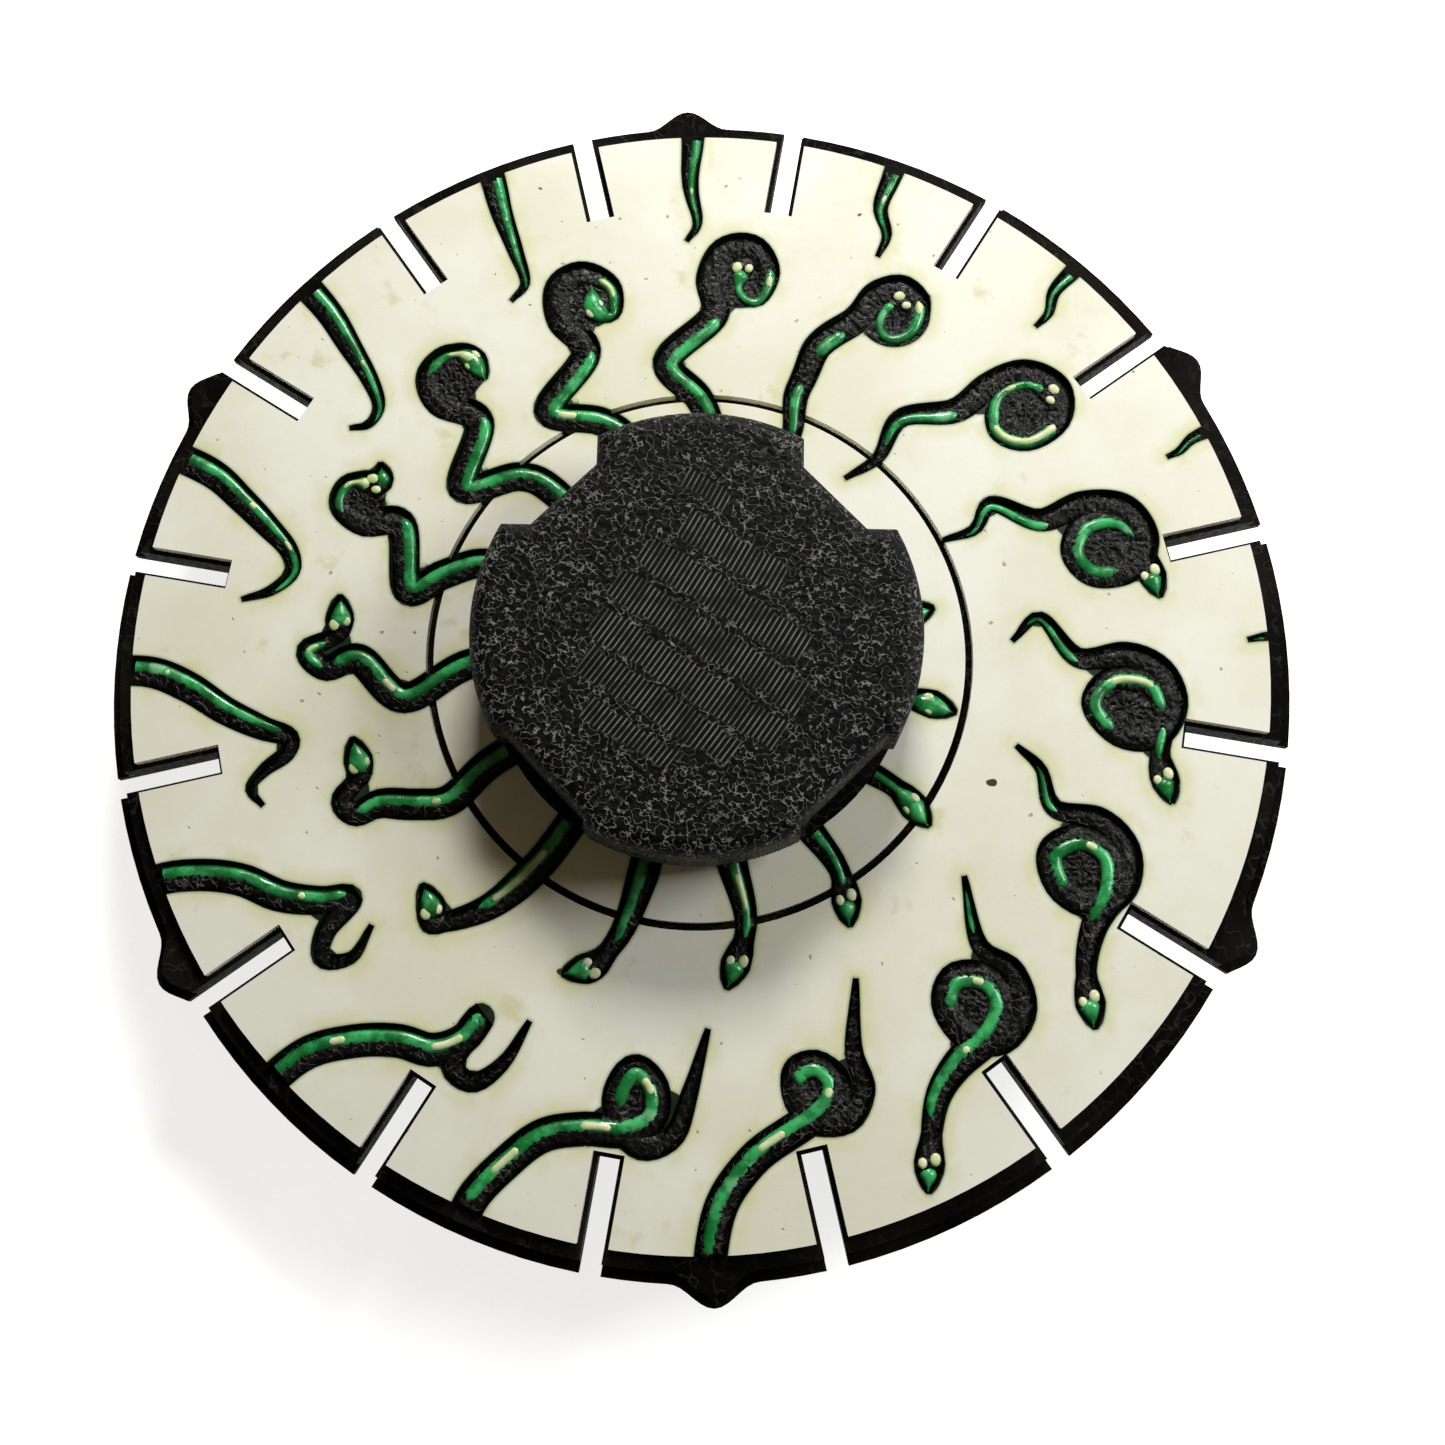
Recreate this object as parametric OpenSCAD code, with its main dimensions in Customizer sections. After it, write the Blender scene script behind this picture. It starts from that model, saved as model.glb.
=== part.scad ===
// Slotted animation disc on a finger-held ball bearing.
// The disc spins about Z; the two finger pads and the inner race stay still.
// Origin: centre of the lower pad's underside.

/* [Disc] */
// Outside diameter of the rim, without the bumps
rim_d = 91; // [86:1:94]
// Thickness of the disc, from its underside to the pale face
disc_t = 3.4; // [3:0.1:4]
// Thickness of the pale face plates
face_t = 0.95; // [0.8:0.05:1.2]
// Width of the bare rim outside the pale face
rim_w = 2.1; // [1.8:0.1:2.4]
// Height of each finger bump on the rim
bump_h = 1.6; // [1:0.1:2]

/* [Slots] */
// Width of a slot through the black base
slot_w = 1.6; // [1.2:0.1:1.8]
// How far the pale face stands back from each side of a slot
slot_margin = 0.35; // [0.2:0.05:0.5]
// Length of a slot, inwards from the edge of the pale face
slot_l = 6.4; // [5:0.1:7]

/* [Face] */
// Diameter of the thin groove between the two pale rings
ring_d = 41.2; // [40:0.2:42]
// Width of that groove
ring_w = 0.6; // [0.3:0.05:0.8]
// Diameter of the black hub on the face
hub_d = 32.2; // [31:0.2:33]

/* [Pads] */
// Height of the whole toy, pad to pad
total_h = 22; // [21:0.5:24]
// Diameter of a finger pad over its lobes
pad_d = 33; // [30:0.2:34]
// Distance across a pad between two opposite flats
pad_flat = 29.4; // [28:0.2:30]
// How far the flats lie off the pad's middle, away from the +Y lobe
pad_flat_shift = 0.7; // [0:0.1:1]
// Width of the step beside each flat
pad_step = 0.6; // [0.3:0.1:0.8]
// Gap between a pad and the bearing boss
pad_gap = 1; // [0.8:0.1:1.5]
// How far a pad stands turned about the spin axis, in degrees
pad_turn = -2.5; // [-45:0.5:45]

/* [Bearing] */
// Outside diameter of the ball bearing
bearing_d = 22; // [22]
// Bore of the ball bearing
bearing_bore = 8; // [8]
// Width of the ball bearing
bearing_w = 7; // [7]
// Diameter of a ball
ball_d = 3.969; // [3.969]
// Number of balls
ball_n = 7; // [7]

/* [Hidden] */
$fn = 96;

// Levels, from the lower pad's underside up
mid_z = total_h / 2;
face_top = mid_z + disc_t / 2;
face_z = face_top - face_t;
disc_z = mid_z - disc_t / 2;
boss_top = mid_z + bearing_w / 2;
boss_z = mid_z - bearing_w / 2;
pad_t = total_h / 2 - bearing_w / 2 - pad_gap;

// Disc
rim_r = rim_d / 2;
face_r = rim_r - rim_w;
// The step round the rim below the black floor of the face: its width and height
shoulder_w = 0.95;
shoulder_h = 1.6;
boss_r = 13.4;
seat_r = bearing_d / 2;
slot_pitch = 22.5;
over = 0.5;
// Half the angle that a bump spans, in degrees
bump_half = 4.2;
// Clearance between the pale inner ring and the hub it lies round
fit = 0.02;

// Bearing
pitch_r = 7.5;
groove_r = ball_d / 2 + 0.06;
inner_race_r = 6.05;
outer_race_r = 9.3;
shield_t = 0.3;
cage_t = 3;
cage_in_r = 6.6;
cage_out_r = 8.6;
shield_r = 6.4;
shield_in = 0.5;

// Grip
pin_r = 1.5;
pin_l = 7;
stem_r = bearing_bore / 2;
collar_r = 5.4;
lobe_w = 15.4;
pad_edge = 1.2;
pad_t_from = total_h / 2 - pad_t;

// Green stripes and pale marks
stripe_t = 0.6;
mark_t = 0.12;
mark_r = 0.36;
eye_r = 0.26;
eye_back = 1.6;
eye_apart = 0.5;
MARK_FIRST = 3;
MARK_STEP = 8;
MARK_MIN_W = 0.8;

// ---------------------------------------------------------------------------
// The thirty-two snakes: one moving picture, two turns of the disc.
// Each key pose is a centreline from tail to head, in millimetres, on the
// axis of its own sector: x clockwise, y away from the disc's centre.
// The poses between two keys are blends of them.
// ---------------------------------------------------------------------------
KEYS = [
    [1, [[-1.5, 11], [-2, 14.5], [-3, 18]]],
    [5, [[-1.5, 11], [-2, 15.5], [-3, 20.5], [-1.5, 25]]],
    [7, [[-1.5, 11], [-2, 15.5], [-2.5, 20], [-2, 24.5], [0, 28], [1.2, 27.4], [2.7, 26.8]]],
    [8, [[-0.7, 11], [-1.3, 17.5], [-2.7, 21.5], [-2, 24], [-0.8, 26.5], [-0.8, 28.4],
         [0.6, 29], [1.9, 27.1], [4.6, 26.6]]],
    [9, [[0, 11], [-0.4, 17.5], [-2.9, 22.5], [0.2, 26], [-0.4, 28.5], [1, 30], [2.3, 27.8],
         [5.2, 27.6]]],
    [10, [[0.5, 11], [0.8, 17.5], [-1.2, 20.6], [-3.4, 22.8], [1.2, 25.4], [0.3, 28.2], [1, 30.5],
          [2.9, 30.6], [3.8, 28.4], [5.2, 28.9]]],
    [11, [[1, 11], [1.5, 17], [0.5, 20], [-3.2, 22.6], [1.5, 25.5], [0.5, 29], [1.4, 31.3], [3.6, 31.6],
          [4.8, 30.2], [4.4, 27.8]]],
    [12, [[1.5, 11], [2, 17], [0.5, 20.2], [-3, 22.8], [1.6, 26], [0.9, 29.5], [1.8, 32.1], [4, 32.5],
          [5.6, 30.6], [4.9, 28.4], [3.8, 29.4], [4.3, 31.4]]],
    [13, [[1.5, 11], [1.5, 17], [0.5, 20.5], [-2, 23.8], [1.8, 27.6], [1.6, 30.8], [2.8, 33.2], [5, 33.4],
          [6.2, 31.3], [5.3, 29.1], [4, 29.8], [4.2, 31.7], [5.5, 33.4]]],
    [15, [[-1.3, 18], [-0.6, 21], [-1.5, 24.6], [1.2, 28], [1.8, 31.5], [3.2, 34.2], [5.8, 34.9], [7.4, 33],
          [6.8, 30.3], [4.8, 29.4], [3.2, 31.2], [3.8, 33.6], [6, 34.4], [7.8, 34]]],
    [16, [[-0.4, 21], [-0.2, 23.5], [-1.5, 25.6], [1.2, 28.4], [1.4, 32], [3, 34.8], [5.8, 35.1], [7.4, 33],
          [6.7, 30.4], [4.6, 29.8], [3, 31.6], [3.6, 33.9], [5.8, 34.8], [8, 34.4], [10.4, 34.1]]],
    [17, [[-0.3, 24], [-2, 26.2], [1.2, 28.8], [1.1, 32.6], [2.4, 35], [5, 35.7], [7.2, 34.2], [7, 31.6],
          [4.8, 30], [3, 31.6], [3.4, 34.2], [5.8, 35], [9, 34.4], [12.4, 35]]],
    [18, [[-1.8, 25], [-0.8, 27.2], [1.6, 29], [1.2, 32.5], [2.6, 35], [5.2, 35.6], [7.2, 34], [6.9, 31.4],
          [4.8, 30], [3, 31.7], [3.5, 34], [5.8, 34.9], [9, 34.5], [12.2, 35], [15.6, 36.8]]],
    [19, [[-1.2, 26], [1.7, 30], [1.4, 33], [3, 35.4], [5.6, 35.6], [7, 33.6], [6.5, 31.2], [4.7, 30.4],
          [3.2, 32], [3.7, 34], [6, 34.8], [9, 34.5], [11.8, 35], [14.6, 36.8], [17, 38.8]]],
    [21, [[0, 28], [1.4, 32.4], [2.6, 35.2], [4.8, 35.9], [6.4, 34.3], [6.5, 32.2], [5.3, 30.7], [4, 32],
          [4.2, 34], [6.2, 34.8], [9, 34.6], [12, 35], [14.6, 36.8], [17, 39.2], [18, 42], [18.3, 45]]],
    [22, [[1.6, 30], [2.2, 33.2], [3.7, 35.3], [5.6, 34.8], [5.5, 32.4], [5, 30.9], [5.6, 32.8],
         [7.4, 34.3],
          [10, 34.6], [13, 35.8], [16, 38], [18, 42], [18.3, 45]]],
    [23, [[3.3, 31.5], [2.7, 34], [4.2, 35.6], [5.5, 34], [5.9, 31.2], [7.4, 32.8], [9.8, 34.6],
          [12.8, 35.8], [15.4, 37.8], [17.4, 40.4], [18.2, 44]]],
    [24, [[2.7, 34.6], [4.2, 35], [5.1, 33.5], [5.6, 31.6], [6.7, 31], [8.2, 32.6], [10.6, 34.7], [13.4, 36.6],
          [15.8, 39], [17.6, 43]]],
    [25, [[5.2, 35.1], [5.8, 33], [7.2, 31.4], [9, 31.7], [11, 33.4], [13.2, 35.5], [15.5, 38],
          [17.8, 42.5]]],
    [26, [[7.1, 32.3], [7.9, 31.1], [9.6, 31], [11.4, 32.6], [13.4, 35.2], [15.6, 38.2], [17.8, 42.5]]],
    [27, [[10.6, 31], [12.4, 31.3], [13.8, 33.8], [15.4, 37], [17.2, 40], [18.6, 43]]],
    [29, [[15.2, 32.4], [16, 34.2], [15.6, 36.6], [16.6, 39.2], [18.2, 43]]],
    [32, [[16.2, 38.7], [16.6, 40.2], [17.8, 43.2]]]];
FRAME_N = 32;
FIRST_SECTOR = 4;
KEY_RIM_R = 43.4;
LAST_HEAD = 19;
COIL_LAST = 21;
STATION = 0.6;
// How many overlapping pieces a body is drawn in, so that no piece crosses itself
BODY_PIECES = 8;

// Half width of a body against the distance from its tail and from its snout
TAIL_W = [[0, 0.1], [2, 0.28], [5, 0.52], [10, 0.85], [16, 1.05], [90, 1.05]];
HEAD_W = [[0, 0.12], [0.7, 0.62], [1.7, 1], [2.7, 0.85], [3.6, 0.6], [6, 0.75], [10, 1.05], [90, 1.05]];
// Bodies that begin under the pad are already this much thicker for each pose before the tail shows
HIDDEN_TAIL = 2.4;
TAIL_SHOWS = 15;
OUTLINE = 0.12;
STRIPE_SHARE = 0.45;
// Each stripe is drawn this much too wide and then shrunk back, which clears its tight inner bends
STRIPE_TRIM = 0.03;
HEAD_L = 3.2;

function snake_name(f) = str("snake_", f < 10 ? "0" : "", f);
function sector_angle(f) = -slot_pitch * (f - 1 + FIRST_SECTOR);
function norm2(v) = v / norm(v);

// Catmull-Rom curve through the points p at u from 0 to 1
function spline(p, u) =
    let (n = len(p) - 1, s = min(u * n, n - 0.0001), i = floor(s), t = s - i,
         b = p[i], c = p[i + 1],
         a = i > 0 ? p[i - 1] : 2 * b - c,
         d = i + 2 <= n ? p[i + 2] : 2 * c - b)
    0.5 * (2 * b + t * (c - a) + t * t * (2 * a - 5 * b + 4 * c - d) + t * t * t * (3 * b - a - 3 * c + d));

// The keys on each side of pose f, and the blended centreline at u
function key_before(f) = max([for (i = [0:len(KEYS) - 2]) if (KEYS[i][0] <= f) i]);
function centre(f, u) =
    let (i = key_before(f), a = KEYS[i], b = KEYS[i + 1], m = (f - a[0]) / (b[0] - a[0]))
    ((1 - m) * spline(a[1], u) + m * spline(b[1], u)) * face_r / KEY_RIM_R;

// Stations along pose f: [point, distance from the tail]
function rough_length(f) = sum_to([for (i = [0:24]) norm(centre(f, (i + 1) / 25) - centre(f, i / 25))], 25);
function sum_to(v, n) = n == 0 ? 0 : v[n - 1] + sum_to(v, n - 1);
function stations(f) = let (n = ceil(rough_length(f) / STATION)) [for (i = [0:n]) centre(f, i / n)];
function steps(p) = [for (i = [0:len(p) - 1]) i == 0 ? 0 : norm(p[i] - p[i - 1])];
function along(p) = let (s = steps(p)) [for (i = [0:len(p) - 1]) sum_to(s, i + 1)];

function tail_extra(f) = max(0, TAIL_SHOWS - f) * HIDDEN_TAIL;
function half_w(f, from_tail, from_head) =
    min(lookup(from_tail + tail_extra(f), TAIL_W), f > LAST_HEAD ? 9 : lookup(from_head, HEAD_W));
function stripe_half_w(f, from_tail, from_head) =
    let (w = half_w(f, from_tail, from_head))
    (f <= LAST_HEAD && from_head < HEAD_L) ? max(0.08, w - 0.2) : max(0.06, w * STRIPE_SHARE);

// A stripe keeps to the middle of a thin tail and of a head, whatever its place along the rest
function middling(f, from_tail, from_head) =
    lookup(from_tail + tail_extra(f), [[4, 0], [9, 1]])
    * (f <= LAST_HEAD ? lookup(from_head, [[3, 0], [6, 1]]) : 1);
function stripe_middle(f, p, s, aside) =
    let (n = len(p) - 1) [for (i = [0:n]) p[i] + side(p, i) * aside * middling(f, s[i], s[n] - s[i])];

// Unit normal of the polyline p at point i, on the clockwise side
function side(p, i) =
    let (a = p[max(i - 1, 0)], b = p[min(i + 1, len(p) - 1)], t = norm2(b - a)) [t[1], -t[0]];

// Closed outline of a band about p[first..last] with half widths w
function band(p, w, first, last) = concat(
    [for (i = [first:last]) p[i] + side(p, i) * w[i]],
    [for (i = [last:-1:first]) p[i] - side(p, i) * w[i]]);

// Where each snake's green stripe shows, as shares of its length from the tail, and how far it lies to
// the clockwise side of the body's middle: [pose, [[from, to, aside], ...]]. Elsewhere the body lies on
// its back and is all black. A pose that isn't listed shows its stripe from STRIPE_FROM to the rim.
STRIPES = [
    [1, [[0.1, 1, 0]]], [2, [[0.1, 1, 0]]], [3, [[0.1, 1, -0.2]]], [4, [[0.1, 0.75, -0.25], [0.86, 1, 0]]],
    [5, [[0.1, 0.72, -0.1], [0.87, 1, 0]]], [6, [[0.1, 0.7, 0.2], [0.88, 1, 0]]],
    [7, [[0.1, 0.68, 0.35], [0.89, 1, 0]]], [8, [[0.1, 0.73, 0.25], [0.9, 1, 0]]],
    [9, [[0.1, 0.69, 0.3], [0.74, 0.85, 0], [0.92, 1, 0]]],
    [10, [[0.1, 0.63, 0.3], [0.79, 0.92, -0.15], [0.95, 1, 0]]],
    [11, [[0.1, 0.61, 0.35], [0.81, 1, 0]]], [12, [[0.1, 0.54, 0.35], [0.8, 1, 0]]],
    [13, [[0.1, 0.51, 0.3], [0.78, 0.94, -0.25]]],
    [14, [[0.14, 0.27, 0], [0.36, 0.45, 0.3], [0.69, 0.91, -0.25]]],
    [15, [[0.12, 0.3, 0.15], [0.63, 0.92, -0.25]]],
    [16, [[0.05, 0.25, 0.3], [0.58, 0.86, 0.2], [0.95, 1, 0]]],
    [17, [[0.05, 0.18, 0.2], [0.57, 0.82, 0], [0.85, 0.91, -0.1], [0.95, 1, 0]]],
    [18, [[0.05, 0.14, 0], [0.49, 0.81, 0.3], [0.955, 1, 0]]],
    [19, [[0.03, 0.1, 0], [0.46, 0.87, 0.3], [0.96, 1, 0]]],
    [20, [[0.42, 0.95, 0.2]]], [21, [[0.33, 0.86, 0.2]]], [22, [[0.34, 0.88, 0.25]]],
    [23, [[0.36, 0.9, 0.3]]], [24, [[0.33, 0.92, 0.35]]]];
STRIPE_FROM = 0.12;
STRIPE_SIDE = 0.3;
function stripe_cuts(f) =
    let (i = search(f, STRIPES)) i == [] ? [[STRIPE_FROM, 1, STRIPE_SIDE]] : STRIPES[i[0]][1];
function station_at(s, c) = max([for (i = [0:len(s) - 1]) if (s[i] <= c * s[len(s) - 1] + 0.001) i]);

module snake_body_2d(f) {
    p = stations(f);
    s = along(p);
    n = len(p) - 1;
    w = [for (i = [0:n]) half_w(f, s[i], s[n] - s[i])];
    for (k = [0:BODY_PIECES - 1])
        polygon(band(p, w, floor(k * n / BODY_PIECES), ceil((k + 1) * n / BODY_PIECES)));
    if (f > 9 && f <= COIL_LAST) translate(coil_centre(f)) circle(r = coil_r(f), $fn = 40);
}

// The hollow of the coil shows black too
function coil_r(f) = lookup(f, [[10, 1.6], [12, 2.4], [15, 3], [18, 2.6], [20, 2.4], [21, 1.9]]);
function coil_centre(f) = [lookup(f, [[10, 2], [12, 3.5], [15, 5], [21, 5.2]]),
    lookup(f, [[10, 29], [12, 30.3], [15, 32.1], [21, 33]])];

module snake_stripe_2d(f) {
    p = stations(f);
    s = along(p);
    n = len(p) - 1;
    w = [for (i = [0:n]) stripe_half_w(f, s[i], s[n] - s[i]) + STRIPE_TRIM];
    offset(delta = -STRIPE_TRIM) for (cut = stripe_cuts(f))
        polygon(band(stripe_middle(f, p, s, cut[2]), w, station_at(s, cut[0]), station_at(s, cut[1])));
}

module in_sector(f) {
    rotate([0, 0, sector_angle(f)]) translate([0, 0, face_z]) children();
}

module ring(r_out, r_in, h) {
    difference() {
        cylinder(r = r_out, h = h);
        translate([0, 0, -over]) cylinder(r = r_in, h = h + 2 * over);
    }
}

module slots(w, r_in, z, h) {
    for (i = [0:15]) rotate([0, 0, slot_pitch * (i + 0.5)])
        translate([r_in, -w / 2, z]) cube([rim_r + bump_h + over - r_in, w, h]);
}

// One bump: a bell whose flanks run hollow into the rim
module bump_2d(r) {
    polygon(concat([[r * 0.95, -2.6], [r * 0.95, 2.6]],
        [for (a = [bump_half:-0.6:-bump_half])
            let (q = r + bump_h * pow(cos(90 * a / bump_half), 2.2)) [q * cos(a), q * sin(a)]]));
}

module plate(r, z, h) {
    translate([0, 0, z]) cylinder(r = r, h = h);
    for (i = [0:5]) rotate([0, 0, 30 + 60 * i]) translate([0, 0, z]) linear_extrude(h) bump_2d(r);
}

module base_disc() color("#1a1815") difference() {
    union() {
        plate(rim_r, disc_z, face_z - shoulder_h - disc_z);
        plate(rim_r - shoulder_w, face_z - shoulder_h - 0.01, shoulder_h + 0.01);
        translate([0, 0, face_z - over]) cylinder(d = hub_d, h = face_t + over);
        translate([0, 0, boss_z]) cylinder(r = boss_r, h = bearing_w);
    }
    slots(slot_w, face_r - slot_l + slot_margin, disc_z - over, disc_t + 2 * over);
    translate([0, 0, boss_z - over]) cylinder(r = seat_r, h = bearing_w + 2 * over);
}

module slots_2d(w, r_in) {
    for (i = [0:15]) rotate(slot_pitch * (i + 0.5))
        translate([r_in, -w / 2]) square([rim_r + bump_h + over - r_in, w]);
}

// A pale ring with the snakes, and any slots, cut through it.
// offset() adds the dark outline round each snake.
module face_ring(r_out, r_in, slotted) {
    translate([0, 0, face_z]) linear_extrude(face_t) offset(delta = -OUTLINE) difference() {
        circle(r = r_out + OUTLINE, $fn = 160);
        circle(r = r_in - OUTLINE);
        for (f = [1:FRAME_N]) rotate(sector_angle(f)) snake_body_2d(f);
        if (slotted) slots_2d(slot_w + 2 * slot_margin - 2 * OUTLINE, face_r - slot_l + OUTLINE);
    }
}

module face_outer() color("#e8e6cf") face_ring(face_r, (ring_d + ring_w) / 2, true);

module face_inner() color("#e8e6cf") face_ring((ring_d - ring_w) / 2, hub_d / 2 + fit, false);

module snake(f) color("#1f9a4b") intersection() {
    in_sector(f) linear_extrude(stripe_t) snake_stripe_2d(f);
    translate([0, 0, face_z - over]) ring(face_r, hub_d / 2, face_t + 2 * over);
}

// Pale spots set on the stripes, and two eyes on each head that is still on the disc
module spots(f, p, s, w, cut) {
    c = stripe_middle(f, p, s, cut[2]);
    for (i = [station_at(s, cut[0]) + MARK_FIRST:MARK_STEP:station_at(s, cut[1]) - 1])
        if (w[i] > MARK_MIN_W) spot(c[i], mark_r);
}
module spot(at, r) {
    if (norm(at) < face_r - 1 && norm(at) > hub_d / 2 + 0.6)
        translate([at[0], at[1], stripe_t]) cylinder(r = r, h = mark_t, $fn = 24);
}
module snake_marks(f) {
    p = stations(f);
    s = along(p);
    n = len(p) - 1;
    toward = norm2(p[n] - p[n - 2]);
    across = [toward[1], -toward[0]];
    w = [for (i = [0:n]) half_w(f, s[i], s[n] - s[i])];
    for (cut = stripe_cuts(f)) spots(f, p, s, w, cut);
    if (f <= LAST_HEAD) for (k = [-1, 1]) spot(p[n] - toward * eye_back + across * k * eye_apart, eye_r);
}
module pale_marks() color("#efe7b8") {
    for (f = [1:FRAME_N]) in_sector(f) snake_marks(f);
}

module bearing_outer_race() color("silver") difference() {
    translate([0, 0, boss_z]) ring(seat_r, outer_race_r, bearing_w);
    translate([0, 0, mid_z]) rotate_extrude() translate([pitch_r, 0]) circle(r = groove_r);
}

module bearing_inner_race() color("silver") difference() {
    translate([0, 0, boss_z]) ring(inner_race_r, bearing_bore / 2, bearing_w);
    translate([0, 0, mid_z]) rotate_extrude() translate([pitch_r, 0]) circle(r = groove_r);
}

module shield(z) color("gray") translate([0, 0, z]) ring(outer_race_r, shield_r, shield_t);

module bearing_shield_top() shield(boss_top - shield_in - shield_t);

module bearing_shield_bottom() shield(boss_z + shield_in);

module ball_places() {
    for (i = [0:ball_n - 1]) rotate([0, 0, 360 / ball_n * i]) translate([pitch_r, 0, mid_z]) children();
}

module bearing_cage() color("goldenrod") difference() {
    translate([0, 0, mid_z - cage_t / 2]) ring(cage_out_r, cage_in_r, cage_t);
    ball_places() sphere(d = ball_d + 0.1);
}

module bearing_balls() color("silver") ball_places() sphere(d = ball_d);

// Four lobes with a flat between each pair, and a small step where they meet
module pad_2d() {
    intersection() {
        circle(d = pad_d - 2 * pad_step);
        translate([0, -pad_flat_shift]) rotate(45) square(pad_flat, center = true);
    }
    intersection() {
        circle(d = pad_d);
        union() for (a = [0, 90]) rotate(a) square([pad_d + 1, lobe_w], center = true);
    }
}

// The upper half of the grip: pad, collar on the inner race, and stem down to the middle
module half_grip() {
    intersection() {
        translate([0, 0, pad_t_from]) linear_extrude(pad_t) rotate(pad_turn) pad_2d();
        translate([0, 0, pad_t_from]) union() {
            cylinder(d = pad_d + 1, h = pad_t - pad_edge);
            translate([0, 0, pad_t - pad_edge])
                cylinder(d1 = pad_d, d2 = pad_d - 2 * pad_edge, h = pad_edge);
        }
    }
    difference() {
        union() {
            translate([0, 0, bearing_w / 2]) cylinder(r = collar_r, h = pad_gap + 0.2);
            cylinder(r = stem_r, h = bearing_w / 2 + 0.2);
        }
        translate([0, 0, -over]) cylinder(r = pin_r, h = pin_l / 2 + over);
    }
}

module top_pad() color("#1b1a19") translate([0, 0, mid_z]) half_grip();

module bottom_pad() color("#1b1a19") translate([0, 0, mid_z]) mirror([0, 0, 1]) half_grip();

module joining_pin() color("silver") translate([0, 0, mid_z - pin_l / 2]) cylinder(r = pin_r, h = pin_l);

for (f = [1:FRAME_N]) snake(f);
base_disc();
face_outer();
face_inner();
pale_marks();
bearing_outer_race();
bearing_inner_race();
bearing_shield_top();
bearing_shield_bottom();
bearing_cage();
bearing_balls();
top_pad();
bottom_pad();
joining_pin();
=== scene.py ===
"""Slotted animation disc spinner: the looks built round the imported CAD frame.

Lengths in this script are millimetres until a mesh is made. The disc turns about Z, and +Y points
to one of its six bumps. Colours are sRGB hex turned into linear light by one function.
"""

import math

import bmesh
import bpy
import numpy as np
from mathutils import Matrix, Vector


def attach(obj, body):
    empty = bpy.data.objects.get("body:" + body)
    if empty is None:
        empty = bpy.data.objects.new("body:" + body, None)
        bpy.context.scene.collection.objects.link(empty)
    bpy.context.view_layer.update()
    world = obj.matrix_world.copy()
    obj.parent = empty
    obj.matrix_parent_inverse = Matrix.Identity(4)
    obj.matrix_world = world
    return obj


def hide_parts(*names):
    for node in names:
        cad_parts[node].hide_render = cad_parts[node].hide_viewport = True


MM = 0.001
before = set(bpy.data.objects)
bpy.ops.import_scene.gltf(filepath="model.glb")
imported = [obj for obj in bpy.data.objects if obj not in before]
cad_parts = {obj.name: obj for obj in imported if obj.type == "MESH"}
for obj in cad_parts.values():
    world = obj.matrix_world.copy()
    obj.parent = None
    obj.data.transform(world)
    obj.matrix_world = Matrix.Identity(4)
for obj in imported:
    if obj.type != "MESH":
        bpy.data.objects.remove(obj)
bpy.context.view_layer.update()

# ---------------------------------------------------------------------------
# Sizes shared with the CAD part
# ---------------------------------------------------------------------------
FACE_R = 43.4  # edge of the pale face
FACE_Z = 11.75  # black floor under the snakes
HUB_R = 16.1  # inner edge of the pale face
MID_Z = 11.0  # middle of the bearing
PAD_TOP = 22.0
PAD_BACK = 15.5  # underside of the upper pad
PAD_D = 33.0  # across the lobes
PAD_FLAT = 29.4  # across the flats
FLAT_SHIFT = 0.7  # how far the flats lie off the pad's middle, towards -Y
PAD_STEP = 0.6  # how far the flats' corners lie inside the lobes
LOBE_W = 15.4
PAD_TURN = -2.5  # degrees about Z
PAD_EDGE = 1.3  # radius of the pad's rounded top edge
COLLAR_R = 5.4
COLLAR_Z = 14.5
STEM_R = 4.0
PIN_R = 1.5
SLOT_PITCH = 22.5  # degrees from one sector to the next
FRAMES = 32  # snakes, two to a sector
FIRST_SECTOR = 4  # sectors from +Y to the first snake, clockwise
LAST_HEAD = 19  # the last snake whose head is still on the disc
COIL_FIRST = 10
COIL_LAST = 21
HEAD_L = 3.2
TAIL_SHOWS = 15  # the first snake whose whole tail is on the face
HIDDEN_TAIL = 2.4  # length of tail that each earlier snake hides under the hub

# ---------------------------------------------------------------------------
# Sizes of the looks only
# ---------------------------------------------------------------------------
RIB_PITCH = 0.395
BODY_STEP = 0.15  # between the rows of points along a black body
LINE_STEP = 0.2  # the same along a green stripe
EDGE_STEP = 0.25  # and along the line that the face's edge colour is measured from
FACE_SPLIT = 0.8  # longest edge of a triangle on the pale face
STRIPE_Z = 12.05  # foot of the green stripes
STRIPE_H = 0.34
STRIPE_W = 1.2  # width of a stripe, as a share of stripe_width
PATCH_W = 0.86  # the same for a pale patch
PATCH_LIFT = 0.06  # height of a pale patch above its stripe
EYE_BACK = 2.0  # from the head's tip
EYE_APART = 0.46
EYE_Z = 12.38
EYE_H = 0.15
EYES = ((-1, 0.46), (1, 0.38))  # side of the head, and half length
SKIN_DROP = 0.17  # from the pad's top down to the foot of its skin relief
LAYER_SHARE = 0.0016  # depth of the layer lines on the pad's wall, as a share of its radius
NOISE_SIZE = 256  # points along a side of the random lattice

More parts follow.
